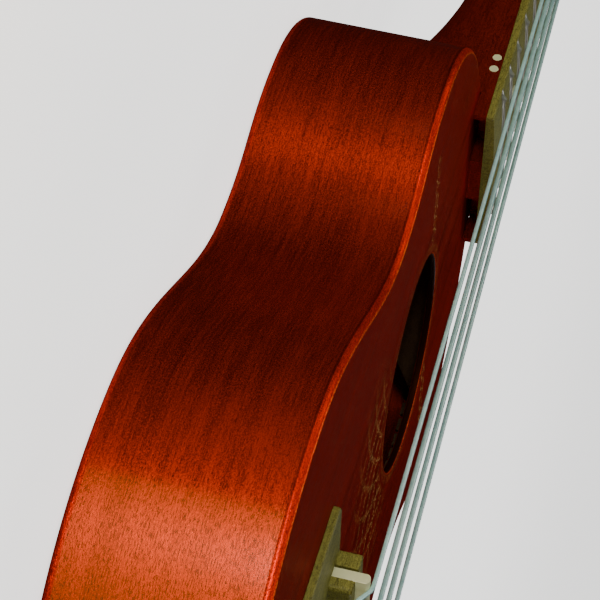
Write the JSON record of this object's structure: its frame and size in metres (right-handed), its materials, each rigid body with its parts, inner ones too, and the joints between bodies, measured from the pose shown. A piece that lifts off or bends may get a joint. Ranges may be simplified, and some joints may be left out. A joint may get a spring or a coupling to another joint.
{
  "type": "acoustic bass ukulele",
  "caption": "Waisted flat-top acoustic string instrument with a round sound hole, a low bridge with a bone saddle, thick smooth strings and geared tuners; lies on its flat back.",
  "frame": {"origin": "on the outside of the flat back plate, on the centre line, 160 mm from the tail", "axes": "+Z out of the soundboard side with the back flat on z = 0, +Y along the neck to the headstock, +X to the treble side"},
  "size_m": [0.2548, 0.7667, 0.08],
  "materials": {
    "mahogany": "satin",
    "spruce": "matt, unfinished",
    "dark_wood": "satin",
    "olive_wood": "oiled",
    "rosette": "satin inlay",
    "bone": "polished bone",
    "string_polymer": "smooth polymer",
    "black_plastic": "moulded",
    "black_metal": "black, satin",
    "nickel": "nickel plate",
    "steel": "plain"
  },
  "bodies": {
    "instrument": {"soundboard": "mahogany", "back_plate": "mahogany", "side_bass": "mahogany", "side_treble": "mahogany", "lining_top_bass": "spruce", "lining_top_treble": "spruce", "lining_back_bass": "spruce", "lining_back_treble": "spruce", "neck_block": "mahogany", "tail_block": "mahogany", "end_graft": "dark_wood", "neck_bolt_upper": "steel", "neck_bolt_lower": "steel", "top_brace_upper": "spruce", "top_brace_lower": "spruce", "fan_brace_bass": "spruce", "fan_brace_centre": "spruce", "fan_brace_treble": "spruce", "bridge_patch": "mahogany", "back_brace_upper": "spruce", "back_brace_waist": "spruce", "back_brace_lower": "spruce", "rosette": "rosette", "neck": "mahogany", "fingerboard": "olive_wood", "side_dot_near": "bone", "side_dot_far": "bone", "nut": "bone", "headstock_plate": "dark_wood", "bridge": "olive_wood", "saddle": "bone", "string_e": "string_polymer", "string_bead_e": "black_plastic", "post_bushing_e": "nickel", "tuner_housing_e": "black_metal", "string_a": "string_polymer", "string_bead_a": "black_plastic", "post_bushing_a": "nickel", "tuner_housing_a": "black_metal", "string_d": "string_polymer", "string_bead_d": "black_plastic", "post_bushing_d": "nickel", "tuner_housing_d": "black_metal", "string_g": "string_polymer", "string_bead_g": "black_plastic", "post_bushing_g": "nickel", "tuner_housing_g": "black_metal"},
    "post_e": {"tuner_post_e": "nickel"},
    "worm_e": {"tuner_worm_e": "steel", "tuner_button_e": "black_plastic"},
    "post_a": {"tuner_post_a": "nickel"},
    "worm_a": {"tuner_worm_a": "steel", "tuner_button_a": "black_plastic"},
    "post_d": {"tuner_post_d": "nickel"},
    "worm_d": {"tuner_worm_d": "steel", "tuner_button_d": "black_plastic"},
    "post_g": {"tuner_post_g": "nickel"},
    "worm_g": {"tuner_worm_g": "steel", "tuner_button_g": "black_plastic"}
  },
  "joints": [
    {"name": "button_turn_e", "type": "hinge", "parent": "instrument", "child": "worm_e", "pos_m": [-0.022, 0.50385, 0.02526], "axis": [-1, 0, 0], "continuous": true},
    {"name": "post_turn_e", "type": "hinge", "parent": "instrument", "child": "post_e", "pos_m": [-0.022, 0.49865, 0.04698], "axis": [0, 0.1886, 0.982], "continuous": true},
    {"name": "button_turn_a", "type": "hinge", "parent": "instrument", "child": "worm_a", "pos_m": [-0.022, 0.5608, 0.01431], "axis": [-1, 0, 0], "continuous": true},
    {"name": "post_turn_a", "type": "hinge", "parent": "instrument", "child": "post_a", "pos_m": [-0.022, 0.55561, 0.03603], "axis": [0, 0.1886, 0.982], "continuous": true},
    {"name": "button_turn_d", "type": "hinge", "parent": "instrument", "child": "worm_d", "pos_m": [0.022, 0.5608, 0.01431], "axis": [1, 0, 0], "continuous": true},
    {"name": "post_turn_d", "type": "hinge", "parent": "instrument", "child": "post_d", "pos_m": [0.022, 0.55561, 0.03603], "axis": [0, 0.1886, 0.982], "continuous": true},
    {"name": "button_turn_g", "type": "hinge", "parent": "instrument", "child": "worm_g", "pos_m": [0.022, 0.50385, 0.02526], "axis": [1, 0, 0], "continuous": true},
    {"name": "post_turn_g", "type": "hinge", "parent": "instrument", "child": "post_g", "pos_m": [0.022, 0.49865, 0.04698], "axis": [0, 0.1886, 0.982], "continuous": true}
  ],
  "couplings": [
    {"joint": "post_turn_e", "follows": "button_turn_e", "ratio": 0.083333},
    {"joint": "post_turn_a", "follows": "button_turn_a", "ratio": 0.083333},
    {"joint": "post_turn_d", "follows": "button_turn_d", "ratio": -0.083333},
    {"joint": "post_turn_g", "follows": "button_turn_g", "ratio": -0.083333}
  ]
}
